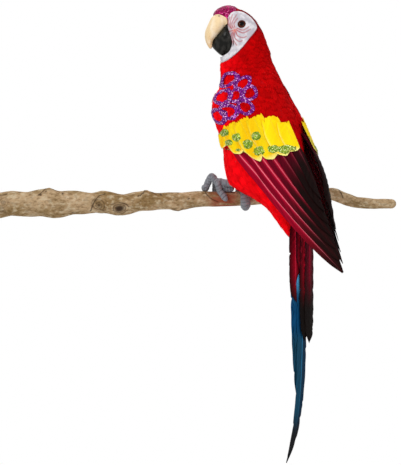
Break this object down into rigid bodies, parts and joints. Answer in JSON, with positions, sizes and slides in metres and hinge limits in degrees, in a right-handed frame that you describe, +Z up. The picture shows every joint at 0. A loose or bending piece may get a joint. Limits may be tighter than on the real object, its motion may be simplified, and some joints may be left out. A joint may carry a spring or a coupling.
{
  "type": "parrot figurine",
  "caption": "Long-tailed red parrot ornament covered in dyed feathers, folded wings, gripping a bare wooden branch with taped wire feet",
  "frame": {"origin": "middle of the branch's sawn butt end", "axes": "+X along the branch to its thin end, +Y behind the branch (the tail hangs in front, on -Y), +Z up"},
  "size_m": [0.636, 0.1896, 0.7216],
  "materials": {
    "red_hackle": "short red feathers, matt",
    "shoulder_red": "short red feathers, matt",
    "covert_yellow": "yellow feathers, matt",
    "flight_maroon": "dyed flight feathers, satin",
    "tail_dye_1": "dyed tail feather, satin",
    "tail_dye_2": "dyed tail feather, satin",
    "tail_dye_3": "dyed tail feather, satin",
    "tail_dye_4": "dyed tail feather, satin",
    "tail_dye_5": "dyed tail feather, satin",
    "tail_dye_6": "dyed tail feather, satin",
    "tail_dye_7": "dyed tail feather, satin",
    "horn": "moulded beak, satin",
    "black_horn": "moulded beak, satin black",
    "bare_skin": "white felt, painted lines",
    "eye": "polished dome, painted behind",
    "pink_glitter": "glitter in glue",
    "purple_glitter": "glitter in glue",
    "taped_wire": "cloth tape, matt",
    "bark": "natural bark"
  },
  "bodies": {
    "root": {"body": "red_hackle", "branch": "bark", "upper_beak": "horn", "lower_beak": "black_horn", "forehead_glitter": "pink_glitter", "left_face_skin": "bare_skin", "left_eye": "eye", "left_shoulder_pad": "shoulder_red", "left_glitter_rings": "purple_glitter", "left_foot": "taped_wire", "left_flight_feather_1": "flight_maroon", "left_flight_feather_2": "flight_maroon", "left_flight_feather_3": "flight_maroon", "left_flight_feather_4": "flight_maroon", "left_flight_feather_5": "flight_maroon", "left_flight_feather_6": "flight_maroon", "left_flight_feather_7": "flight_maroon", "left_covert_1": "covert_yellow", "left_covert_2": "covert_yellow", "left_covert_3": "covert_yellow", "left_covert_4": "covert_yellow", "left_covert_5": "covert_yellow", "left_covert_6": "covert_yellow", "right_face_skin": "bare_skin", "right_eye": "eye", "right_shoulder_pad": "shoulder_red", "right_glitter_rings": "purple_glitter", "right_foot": "taped_wire", "right_flight_feather_1": "flight_maroon", "right_flight_feather_2": "flight_maroon", "right_flight_feather_3": "flight_maroon", "right_flight_feather_4": "flight_maroon", "right_flight_feather_5": "flight_maroon", "right_flight_feather_6": "flight_maroon", "right_flight_feather_7": "flight_maroon", "right_covert_1": "covert_yellow", "right_covert_2": "covert_yellow", "right_covert_3": "covert_yellow", "right_covert_4": "covert_yellow", "right_covert_5": "covert_yellow", "right_covert_6": "covert_yellow", "tail_feather_1": "tail_dye_1", "tail_feather_2": "tail_dye_2", "tail_feather_3": "tail_dye_3", "tail_feather_4": "tail_dye_4", "tail_feather_5": "tail_dye_5", "tail_feather_6": "tail_dye_6", "tail_feather_7": "tail_dye_7"}
  },
  "joints": []
}
